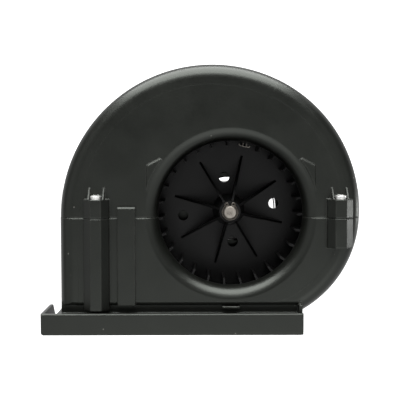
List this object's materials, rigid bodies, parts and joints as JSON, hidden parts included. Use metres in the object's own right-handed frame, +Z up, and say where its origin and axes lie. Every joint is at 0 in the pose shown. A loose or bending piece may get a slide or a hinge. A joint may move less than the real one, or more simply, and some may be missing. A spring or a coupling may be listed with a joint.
{
  "type": "heater blower motor",
  "caption": "Vehicle heater blower: black scroll housing in two clamped halves with a round inlet, a squirrel-cage fan on its motor's shaft and an outlet flange below.",
  "frame": {"origin": "middle of the underside: the centre of the whole part's box, at the lower edge of the outlet flange", "axes": "+X to the right as seen from the inlet, +Y from the inlet to the motor's rear end, +Z up"},
  "size_m": [0.24, 0.1536, 0.2022],
  "materials": {
    "housing_plastic": "satin moulded black talc-filled polypropylene",
    "fan_plastic": "satin moulded black polypropylene",
    "zinc_screw": "bright zinc-plated steel",
    "shaft_steel": "turned and ground bright steel",
    "spring_steel": "oiled spring steel",
    "can_steel": "deep-drawn zinc-plated steel sheet",
    "rubber": "matte black moulded rubber",
    "ferrite": "pressed and sintered dark grey ferrite",
    "lamination_steel": "stacked punched steel sheet",
    "enamelled_copper": "enamelled copper wire",
    "commutator_copper": "turned copper bars",
    "sintered_bronze": "oil-filled sintered bronze",
    "carbon": "pressed carbon",
    "holder_plastic": "moulded brown phenolic",
    "cap_plastic": "moulded dark grey polyamide",
    "terminal_brass": "stamped brass"
  },
  "bodies": {
    "housing": {"upper_housing": "housing_plastic", "lower_housing": "housing_plastic", "housing_screws": "zinc_screw", "motor_carrier": "housing_plastic", "carrier_screws": "zinc_screw", "motor_sleeve": "rubber", "motor_can": "can_steel", "motor_magnets": "ferrite", "motor_end_cap": "cap_plastic", "front_bearing": "sintered_bronze", "rear_bearing": "sintered_bronze", "brush_holder": "holder_plastic", "brushes": "carbon", "brush_springs": "spring_steel", "connector_socket": "cap_plastic", "terminal_blades": "terminal_brass"},
    "rotor": {"motor_shaft": "shaft_steel", "armature_core": "lamination_steel", "armature_windings": "enamelled_copper", "commutator": "commutator_copper", "fan_wheel": "fan_plastic", "retaining_ring": "spring_steel", "balance_clip": "spring_steel", "thrust_washers": "spring_steel"}
  },
  "joints": [
    {"name": "fan_spin", "type": "hinge", "parent": "housing", "child": "rotor", "pos_m": [0.02193, 0.03575, 0.0895], "axis": [0, -1, 0], "continuous": true}
  ]
}
